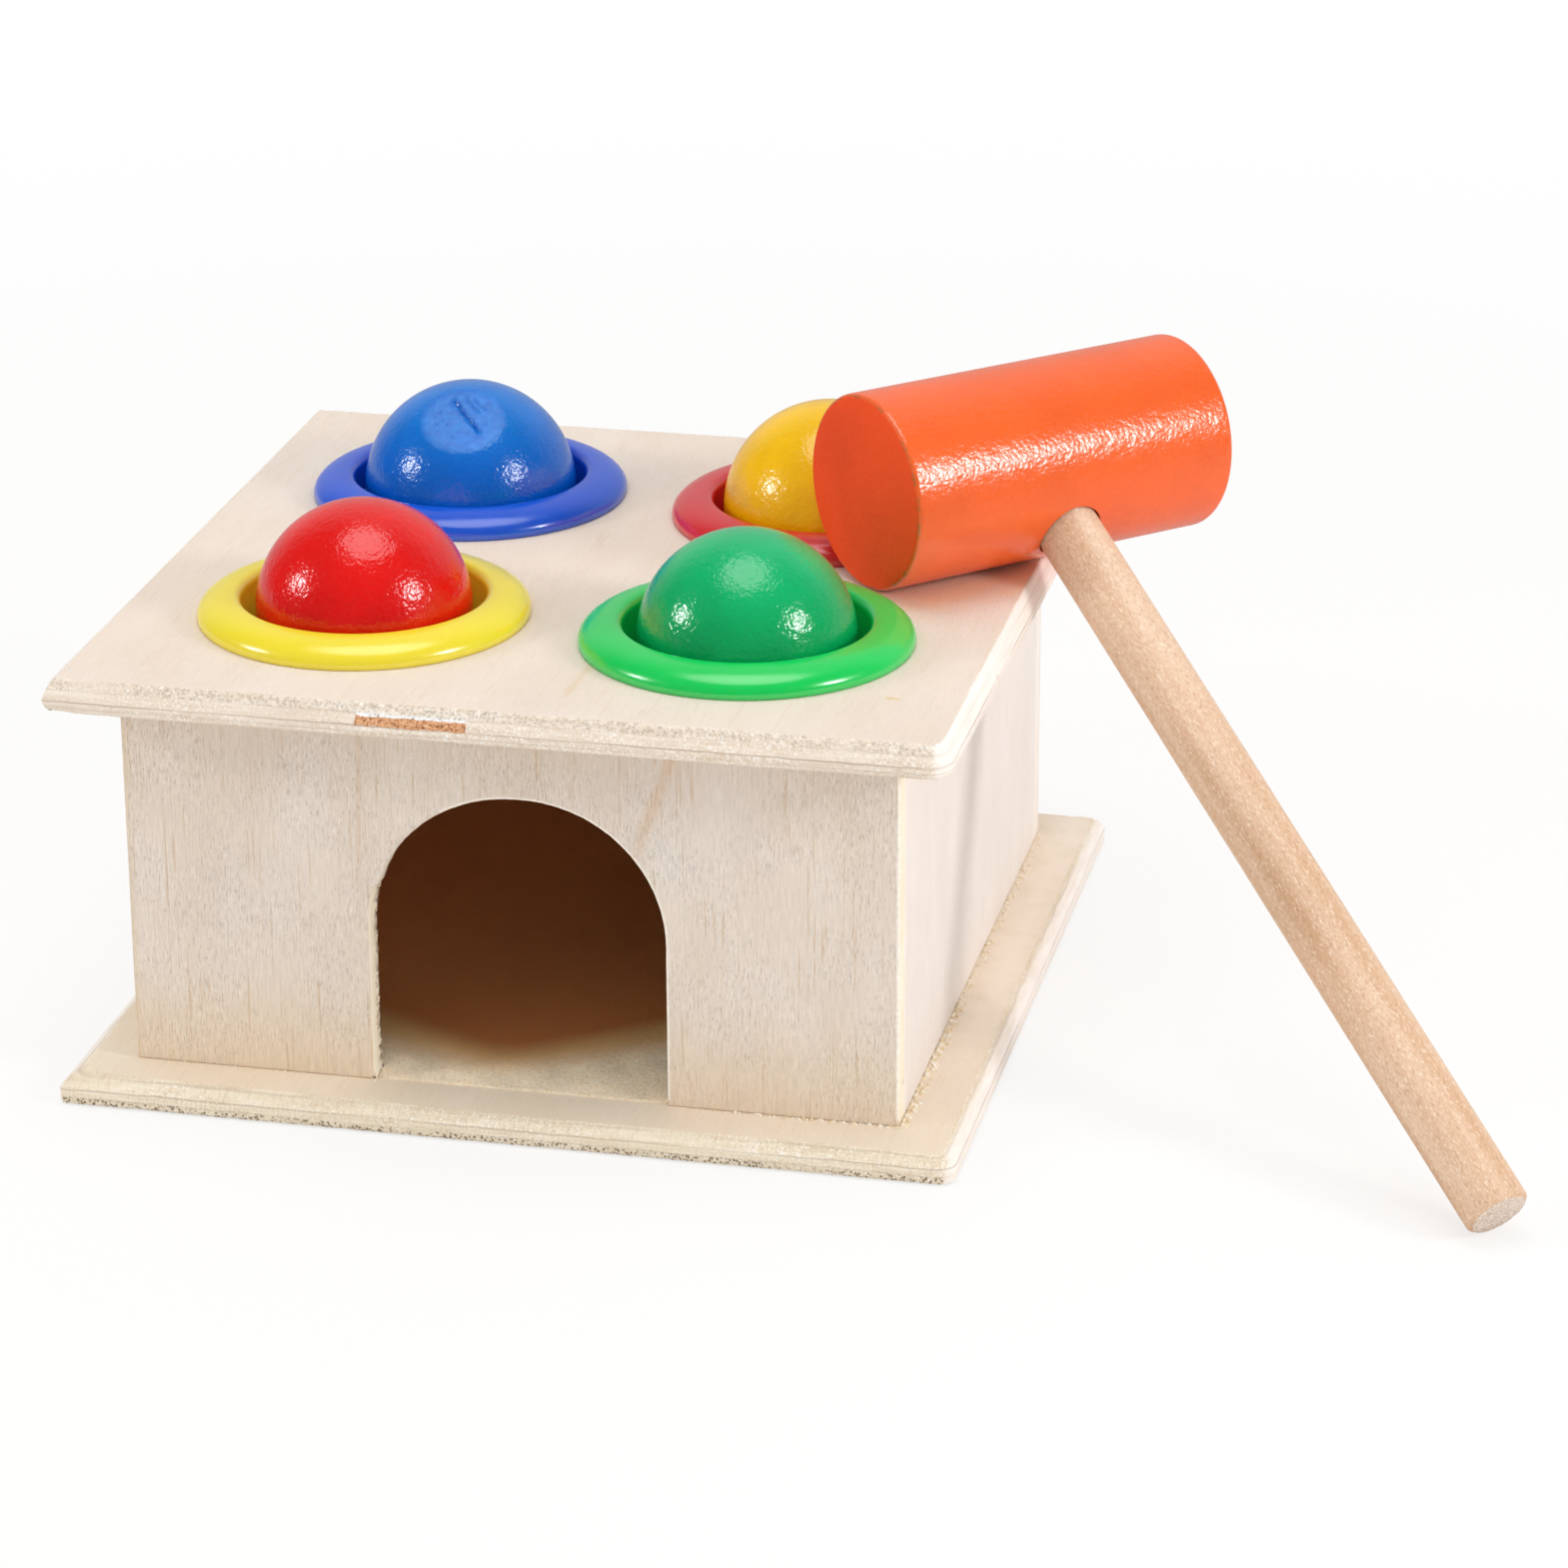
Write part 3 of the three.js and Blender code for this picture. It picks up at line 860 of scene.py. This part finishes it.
def fibreboardFinish():
    finish, mix = newFinish("fibreboard")
    fuzz = mix.speckle(0.5, 4.0, 0.7)
    colour = mix.cloud(mix.ramp(fuzz, (0.3, 0.5, 0.68), slope["tones"]), 6.0, 0.86, 1.08)
    hairs = mix.span(mix.speckle(0.4, place=mix.stretched("X", 0.25)), 0.68, 0.76)
    colour = mix.tint(colour, slope["hair"], mix.times(hairs, 0.5))
    # painted shade: beyond a V-shaped shadow edge the floor turns to dark brown shade, redder further back
    left, right = slope["fallBack"]
    depth = mix.along("Y")
    across = mix.less(mix.along("X"), slope["worn"][0])
    apart = mix.calc("SQRT", mix.plus(mix.times(across, across), slope["roundTip"] ** 2))
    back = mix.plus(mix.times(apart, (right + left) / 2), mix.times(across, (right - left) / 2))
    inward = mix.less(depth, mix.plus(back, slope["worn"][1]))
    nearby = mix.plus(inward, mix.times(mix.less(apart, 7.5), 0.14))
    colour = mix.tint(colour, slope["shadowPenumbra"], mix.span(nearby, -8.5, -0.5, 0.0, 0.9))
    further = mix.less(depth, mix.times(across, 1.2))
    deep = mix.tint(slope["deep"], slope["far"], mix.span(further, -35.0, 55.0))
    colour = mix.tint(colour, deep, mix.span(inward, -3.0, 3.0))
    mix.surface(colour, 0.95, 0.1, mix.bump(fuzz, 0.16))
    return finish


def addRamp():
    low, high = nodeBox("ramp_board")
    radius = panels["doorWidth"] / 2 - slope["tongueGap"]
    left, right = panels["doorMiddle"] - radius, panels["doorMiddle"] + radius
    shoulder = nodeBox("front_panel")[1].y + slope["tongueGap"]
    corners = [(left, low.y), (right, low.y), (right, shoulder), (high.x, shoulder), (high.x, high.y),
               (low.x, high.y), (low.x, shoulder), (left, shoulder)]
    points = []
    for start, end in zip(corners, corners[1:] + corners[:1]):
        points += straight(start, end, slope["step"])
    steep = slope["rise"] / (high.y - low.y)
    drop = slope["thickness"] * math.hypot(1, steep)

    def toSpace(u, v, w):
        top = low.z + slope["edge"] + steep * (v - low.y)
        under = max(low.z, top - drop)
        return (u, v, under + (top - under) * w)

    def wear(u, v, nu, nv, index):
        if nv >= -0.5 or v >= low.y + 0.5:
            return 0.0, 0.0
        waves = (noise.noise(Vector((u * 0.9, v, 5.0))), noise.noise(Vector((u * 3.1, v, 2.0))))
        return max(0.0, sum(size * wave for size, wave in zip(slope["ragged"], waves))), 0.0

    levels = [(0.0, 0.0), (0.7, 0.0), (1.0, 0.05)]
    bm, _ = slab(lambda inset: offset(points, inset), levels, toSpace, (), wear)
    finish = fibreboardFinish()
    addPiece("ramp_fibreboard", bm, "box", [finish, finish], ["ramp_board"])


addRamp()
print("ramp built")


# sanding crumbs and dried glue left along the seams, and two splinters on the ramp's lip

crumbs = {
    "seams": [  # start, end, way out from the panel, how far, count, sizes, lean to the far end
        ((53.0, -52.6, 3.5), (53.0, -10.0, 3.5), (1, 0, 0), 1.2, 230, (0.13, 0.34), 1.2),
        ((53.0, -10.0, 3.5), (53.0, 53.0, 3.5), (1, 0, 0), 0.9, 120, (0.1, 0.24), 1.0),
        ((-51.0, -52.9, 3.5), (-19.0, -52.9, 3.5), (0, -1, 0), 0.35, 22, (0.08, 0.2), 1.0),
        ((21.0, -52.9, 3.5), (52.8, -52.9, 3.5), (0, -1, 0), 0.5, 80, (0.1, 0.28), 0.45),
    ],
    "splinters": [((15.4, -51.2, 3.7), (16.3, -50.4, 4.2)), ((-4.7, -49.9, 4.0), (-3.8, -49.2, 4.35))],
    "splinterRadii": (0.14, 0.03),
    "tones": ("#e6cda4", "#f7e8cc", "#fffaf0"),
}


def addCrumbs():
    dice = random.Random(5)
    grain = bmesh.new()
    bmesh.ops.create_icosphere(grain, subdivisions=2, radius=1.0)
    bm = bmesh.new()
    for start, end, away, far, count, sizes, lean in crumbs["seams"]:
        for i in range(count):
            size = dice.uniform(*sizes)
            spot = Vector(start).lerp(Vector(end), dice.random() ** lean)
            spot += Vector(away) * far * dice.random() ** 2
            stretch = [dice.uniform(0.7, 1.4) for axis in range(3)]
            seed = Vector((i * 3.7, size * 50, 2.0))
            corners = []
            for vert in grain.verts:
                swell = size * (1 + 0.5 * noise.noise(vert.co * 1.3 + seed))
                corners.append(bm.verts.new(Vector([a * swell * b for a, b in zip(vert.co, stretch)]) + spot))
            for face in grain.faces:
                bm.faces.new([corners[vert.index] for vert in face.verts]).smooth = True
    grain.free()
    thick, thin = crumbs["splinterRadii"]
    for start, end in crumbs["splinters"]:
        along = Vector(end) - Vector(start)
        made = bmesh.ops.create_cone(bm, cap_ends=True, segments=7, radius1=thick, radius2=thin,
                                     depth=along.length)
        turn = along.to_track_quat("Z", "Y").to_matrix()
        for vert in made["verts"]:
            vert.co = turn @ vert.co + (Vector(start) + Vector(end)) / 2
    finish, mix = newFinish("crumbs")
    mix.surface(mix.ramp(mix.speckle(0.8), (0.35, 0.5, 0.65), crumbs["tones"]), 0.6, 0.4)
    addPiece("seam_crumbs", bm, "box", [finish])


addCrumbs()
print("crumbs scattered")


# moulded snap collars

collar = {
    "mouth": 16.6,
    "lip": 14.8,
    "lipLand": 0.8,
    "funnel": 5.0,
    "flange": 22.6,
    "height": 3.45,
    "rim": 0.6,
    "crown": 17.7,
    "roll": 1.2,
    "sleeve": 17.7,
    "sleeveTip": 0.7,
    "flare": 1.5,
    "sides": 160,
    "crease": 38,  # degrees from which an edge stays sharp
    "colours": {"blue": "#0c54d4", "red": "#d8242a", "yellow": "#f4e030", "green": "#06d05a"},
    "dust": "#f4f2ee",
}


def plasticFinish(name, colour):
    finish, mix = newFinish(name)
    dust = mix.span(mix.speckle(0.38, 3.0, 0.7), 0.7, 0.76)
    patch = mix.span(mix.speckle(6.0), 0.52, 0.66)
    scuffed = mix.tint(mix.cloud(colour, 7.0, 0.99, 1.01), collar["dust"], mix.times(dust, patch, 0.45))
    gloss = mix.span(mix.speckle(2.2, 3.0), 0.3, 0.7, 0.2, 0.26)
    relief = mix.bump(mix.speckle(2.0, 1.0), 0.006)
    mix.surface(scuffed, gloss, 0.95, relief, {
        "IOR": 1.58, "Subsurface Weight": 0.3, "Subsurface Scale": 2.5 * mm,
        "Subsurface Radius": (1.0, 1.0, 1.0)})
    return finish


def addCollar(name, node):
    low, high = nodeBox(node)
    board = nodeBox("top_board")[1].z
    middle = ((low.x + high.x) / 2, (low.y + high.y) / 2)
    flange, crown, mouth = (collar[key] for key in ("flange", "crown", "mouth"))
    lip, sleeve = collar["lip"], collar["sleeve"]
    height, rim, roll = (collar[key] for key in ("height", "rim", "roll"))
    sleeveEnd = low.z - board
    lipFoot = sleeveEnd + collar["flare"]
    lipTop = lipFoot + collar["lipLand"]
    profile = [(sleeve, 0.0), (flange - 0.25, 0.0), (flange - 0.06, 0.08)]
    profile += quarterArc((crown, rim), (flange - crown, height - rim), 0, 14)
    profile += quarterArc((crown, height - roll), (crown - mouth, roll), math.pi / 2, 8)[1:]
    profile += [(mouth, lipTop + collar["funnel"]), (lip + 0.1, lipTop + 0.1), (lip, lipTop - 0.1)]
    profile += [(lip, lipFoot), (sleeve - collar["sleeveTip"], sleeveEnd), (sleeve, sleeveEnd)]
    bm = lathe([(radius, board + rise) for radius, rise in profile], collar["sides"], middle, wrap=True)
    sharpen(bm, collar["crease"])
    finish = plasticFinish(name + "Plastic", collar["colours"][name])
    addPiece("collar_" + name + "_moulded", bm, "box", [finish], [node])


for name in collar["colours"]:
    addCollar(name, "collar_" + name)
print("collars built")


# painted wooden balls

ball = {
    "rings": 64,
    "sides": 128,
    "colours": {"blue": "#0062c8", "yellow": "#fcc000", "red": "#de0c08", "green": "#04a45c"},
    "litTops": {"blue": "#0878d4", "yellow": "#fdc804", "red": "#e6140e", "green": "#0cb870"},  # paler on top, painted light from above
    "scales": {"blue": 1.016, "yellow": 1.015, "red": 0.982, "green": 0.99},  # turned by hand, not all alike
    "sinks": {"blue": 0.0, "yellow": -0.5, "red": -0.2, "green": 0.4},        # mm each sits lower
    "skin": ((3.2, 2.0, 0.05), (0.9, 1.0, 0.08), (0.42, 1.0, 0.056)),
    "flat": {  # the blue ball was turned with a flat, and its wood has split there
        "normal": (0.0824, -0.5102, 0.8561),
        "radius": 5.43,
        "rings": 54,
        "sides": 256,
        "ease": (0.07, 1.1),  # mm, depth and width of its rounded rim
        # the flat is paler: partly its own tone, partly painted reflection of the overhead light
        "tones": ("#0a6cd0", "#0c78da", "#1880e0"),
        "splits": [  # start, end, width and depth in mm
            ((-2.1, 4.4), (2.8, -2.8), 0.55, 0.55), ((-0.3, 4.5), (2.2, 1.2), 0.3, 0.22),
            ((0.9, 4.2), (2.9, 1.9), 0.22, 0.16), ((-2.6, 3.4), (-0.4, 1.2), 0.22, 0.14)],
        "pits": [  # place and radius in mm
            (-3.9, -1.0, 0.42), (-1.4, -3.2, 0.36), (3.3, -0.8, 0.34), (-3.1, -0.2, 0.3), (-2.3, -0.9, 0.3),
            (2.9, 1.9, 0.3), (1.6, 3.6, 0.28), (-3.4, 1.4, 0.24)],
        "pitDepth": 0.12,
    },
}


def paintFinish(name, colour, crown, flatHeight=None):
    finish, mix = newFinish(name)
    # painted light: each ball paler on its upward faces
    base = mix.tint(colour, crown, mix.span(mix.facing("Z"), 0.35, 0.95))
    skin, relief = mix.paintSkin(ball["skin"])
    gloss = mix.span(skin, 0.3, 0.7, 0.15, 0.21)
    if flatHeight is not None:
        height = mix.vector("DOT_PRODUCT", mix.place, ball["flat"]["normal"])
        onFlat = mix.span(height, (flatHeight - 0.45) * mm, (flatHeight - 0.04) * mm)
        # the flat paler: partly its own tone, partly painted reflection of the overhead light
        worn = mix.ramp(mix.speckle(1.1, 3.0), (0.32, 0.5, 0.68), ball["flat"]["tones"])
        base = mix.tint(base, worn, onFlat)
        gloss = mix.plus(gloss, mix.times(onFlat, 0.3))
    mix.surface(mix.cloud(base, 9.0, 0.92, 1.06), gloss, 0.85, relief)
    return finish


def nearLine(point, start, end):
    along = Vector(end) - Vector(start)
    share = max(0.0, min(1.0, (point - Vector(start)).dot(along) / along.length_squared))
    return (point - Vector(start) - along * share).length, share


def splitWood(u, v):  # depth of the cracks and pits on the flat
    point = Vector((u, v))
    swayU = 0.22 * noise.noise(Vector((u, v, 3.0)) * 1.6)
    swayV = 0.12 * noise.noise(Vector((u, v, 9.0)) * 3.1)
    depth = 0.0
    for start, end, width, deep in ball["flat"]["splits"]:
        gap, share = nearLine(point + Vector((swayU, swayV)), start, end)
        taper = min(1.0, 6 * share, 6 * (1 - share) + 0.15)
        depth = max(depth, deep * taper * max(0.0, 1 - gap / width))
    for pitU, pitV, size in ball["flat"]["pits"]:
        away = (point - Vector((pitU, pitV))).length
        depth = max(depth, ball["flat"]["pitDepth"] * max(0.0, 1 - away / size))
    return depth


def arcProfile(radius, start, rings):  # from an angle off the top down to the lowest point
    angles = [start + (math.pi - start) * i / rings for i in range(rings)]
    return [(radius * math.sin(a), radius * math.cos(a)) for a in angles] + [(0.0, -radius)]


def flatBall(radius, height):  # lathe turned about the flat's own axis
    flat = ball["flat"]
    rim = flat["radius"]
    profile = [(rim * i / flat["rings"], height) for i in range(flat["rings"])]
    bm = lathe(profile + arcProfile(radius, math.asin(rim / radius), ball["rings"]), flat["sides"])
    easeDepth, easeWidth = flat["ease"]
    for vert in bm.verts:
        reach = math.hypot(vert.co.x, vert.co.y)
        if vert.co.z > 0 and reach < rim + 0.01:
            ease = easeDepth * max(0.0, 1 - (rim - reach) / easeWidth) ** 2
            vert.co.z -= ease + splitWood(vert.co.x, vert.co.y)
    normal = Vector(flat["normal"]).normalized()
    right = Vector((0, 0, 1)).cross(normal).normalized()
    up = normal.cross(right)
    bm.transform(Matrix((right, up, normal)).transposed().to_4x4())
    return bm


def addBall(name, node):
    low, high = nodeBox(node)
    centre = (low + high) / 2
    centre.z -= ball["sinks"][name]
    radius = (high.z - low.z) / 2 * ball["scales"][name]
    if name == "blue":
        flatHeight = math.sqrt(radius ** 2 - ball["flat"]["radius"] ** 2)
        bm = flatBall(radius, flatHeight)
    else:
        flatHeight = None
        profile = [(reach, -height) for reach, height in arcProfile(radius, 0.0, ball["rings"])]
        bm = lathe(profile, ball["sides"])
    finish = paintFinish(name + "Paint", ball["colours"][name], ball["litTops"][name], flatHeight)
    addPiece("ball_" + name + "_painted", bm, name + "_ball", [finish], [node],
             Matrix.Translation(centre * mm))


for name in ball["colours"]:
    addBall(name, "ball_" + name)
print("balls built")


# hammer, made in its own frame: head along X, handle towards -Y

hammer = {
    "place": (56.477, 15.421, 74.35),
    "turn": 44.35,
    "tilt": 32.953,
    "headRadius": 13.65,
    "headLength": 52.25,
    "headShift": 0.22,  # mm the head lies off its handle's middle
    "headEdge": 0.7,
    "headSteps": 110,
    "headSides": 160,
    "headCrease": 35,   # degrees from which an edge stays sharp
    "capRings": 6,
    "socket": 4.725,
    "seat": 7.0,
    "boreSlack": 0.3,   # mm the bore goes on behind the handle
    "boreStart": 20.0,
    "run": (-5.4, -2.0, 0.8, 0.45),  # mm, a bead of paint by the socket: along, across, size, height
    "handleRadius": 4.425,
    "handleSteps": 60,
    "handleSides": 96,
    "handleCrease": 30,
    "handleWave": 0.03,
    "reach": 130.0,
    "chamfer": 0.6,
    "paint": "#fa641e",
    "endPaint": "#ff5010",
    "worn": "#b8642c",
    "skin": ((3.0, 2.0, 0.05), (1.5, 1.0, 0.05), (0.5, 1.0, 0.066)),
    "beech": ("#ebcdb1", "#e2be9f", "#d4a985"),
    "beechEnd": ("#cbb49c", "#e6d3c6", "#f0e4d8"),
    "darkFleck": "#bb8c66",
    "paleFleck": "#fdeedc",
}


def hammerFrame():
    turn = Matrix.Rotation(math.radians(hammer["turn"]), 4, "Z")
    tilt = Matrix.Rotation(math.radians(hammer["tilt"]), 4, "X")
    return Matrix.Translation(Vector(hammer["place"]) * mm) @ turn @ tilt


def headFinish():
    finish, mix = newFinish("hammerHeadPaint")
    half, rim = hammer["headLength"] / 2, hammer["headRadius"]
    along = mix.calc("ABSOLUTE", mix.plus(mix.along("X"), hammer["headShift"]))
    onEnd = mix.span(along, half - 0.25, half - 0.05)
    colour = mix.tint(hammer["paint"], hammer["endPaint"], onEnd)
    radius = mix.calc("DIVIDE", mix.vector("LENGTH", mix.stretched("X", 0.0)), mm)
    ragged = mix.times(mix.less(mix.speckle(1.1, 3.0), 0.5), 0.8)
    outside = mix.span(mix.plus(radius, ragged), rim - 0.65, rim - 0.4)
    atEnd = mix.span(mix.plus(along, ragged), half - 0.45, half - 0.2)
    chips = mix.span(mix.speckle(2.4), 0.4, 0.6, 0.15, 0.8)
    colour = mix.tint(colour, hammer["worn"], mix.times(outside, atEnd, chips))
    skin, relief = mix.paintSkin(hammer["skin"])
    gloss = mix.plus(mix.span(skin, 0.3, 0.7, 0.2, 0.27), mix.times(onEnd, 0.35))
    shine = mix.span(onEnd, 0.0, 1.0, 0.95, 0.2)
    mix.surface(mix.cloud(colour, 10.0, 0.94, 1.05), gloss, shine, relief, {"IOR": 1.6})
    return finish


def beechFinish():
    finish, mix = newFinish("beech")
    bands = mix.speckle(3.0, place=mix.stretched("Y", 0.06))
    colour = mix.ramp(bands, (0.3, 0.5, 0.75), hammer["beech"])
    flecks = mix.speckle(0.27, 2.0, 0.6, mix.stretched("Y", 0.36))
    colour = mix.tint(colour, hammer["darkFleck"], mix.span(flecks, 0.54, 0.68, 0.0, 0.45))
    colour = mix.tint(colour, hammer["paleFleck"], mix.span(flecks, 0.3, 0.45, 0.55, 0.0))
    tip = mix.span(mix.along("Y"), 0.1 - hammer["reach"], 0.02 - hammer["reach"])
    dots = mix.ramp(mix.speckle(0.3), (0.35, 0.5, 0.7), hammer["beechEnd"])
    mix.surface(mix.tint(colour, dots, tip), 0.55, 0.35, mix.bump(flecks, 0.1))
    return finish


def addHammerHead():
    half, edge, radius = hammer["headLength"] / 2, hammer["headEdge"], hammer["headRadius"]
    rings, steps, flat = hammer["capRings"], hammer["headSteps"], hammer["headRadius"] - hammer["headEdge"]
    profile = [(flat * i / rings, -half) for i in range(rings)]
    profile += quarterArc((flat, edge - half), (edge, edge), -math.pi / 2, 6)
    profile += [(radius, edge - half + 2 * (half - edge) * i / steps) for i in range(1, steps)]
    profile += quarterArc((flat, half - edge), (edge, edge), 0, 6)
    profile += [(flat * i / rings, half) for i in range(rings - 1, -1, -1)]
    bm = lathe(profile, hammer["headSides"])
    bm.transform(Matrix.Translation((-hammer["headShift"], 0, 0)) @ Matrix.Rotation(math.pi / 2, 4, "Y"))
    runX, runZ, size, height = hammer["run"]
    for vert in bm.verts:
        if vert.co.y < 0:
            near = math.hypot(vert.co.x - runX, vert.co.z - runZ) / size
            vert.co.y -= height * math.exp(-near ** 4)
    head = addPiece("hammer_head_painted", bm, "hammer", [headFinish()], ["hammer_head"],
                    hammerFrame())
    end, start = hammer["seat"] + hammer["boreSlack"], -hammer["boreStart"]
    socket = hammer["socket"]
    drill = lathe([(0.0, end), (socket, end), (socket, start), (0.0, start)], drilled["sides"])
    drill.transform(Matrix.Rotation(-math.pi / 2, 4, "X"))
    cutter = newObject("drill", drill, matrix=hammerFrame())
    bore = head.modifiers.new("bore", "BOOLEAN")
    bore.operation = "DIFFERENCE"
    bore.solver = "EXACT"
    bore.object = cutter
    bpy.context.view_layer.update()
    bored = bpy.data.meshes.new_from_object(head.evaluated_get(bpy.context.evaluated_depsgraph_get()))
    head.modifiers.clear()
    head.data = bored
    bored.set_sharp_from_angle(angle=math.radians(hammer["headCrease"]))
    bpy.data.objects.remove(cutter)


def addHammerHandle():
    radius, chamfer, reach, seat = (hammer[key] for key in ("handleRadius", "chamfer", "reach", "seat"))
    profile = [(0.0, -reach), (radius - chamfer - 0.15, -reach), (radius - chamfer + 0.05, -reach + 0.06)]
    profile += [(radius - 0.12, chamfer - 0.12 - reach), (radius, chamfer + 0.15 - reach)]
    for i in range(1, hammer["handleSteps"]):
        height = -reach + chamfer + (reach + seat - 2 * chamfer) * i / hammer["handleSteps"]
        wave = hammer["handleWave"] * noise.noise(Vector((height * 0.08, 1.0, 2.0)))
        profile.append((radius + wave, height))
    profile += [(radius, seat - chamfer), (radius - chamfer, seat), (0.0, seat)]
    bm = lathe(profile, hammer["handleSides"])
    bm.transform(Matrix.Rotation(-math.pi / 2, 4, "X"))
    sharpen(bm, hammer["handleCrease"])
    addPiece("hammer_handle_dowel", bm, "hammer", [beechFinish()], ["hammer_handle"], hammerFrame())


addHammerHead()
addHammerHandle()
print("hammer built")
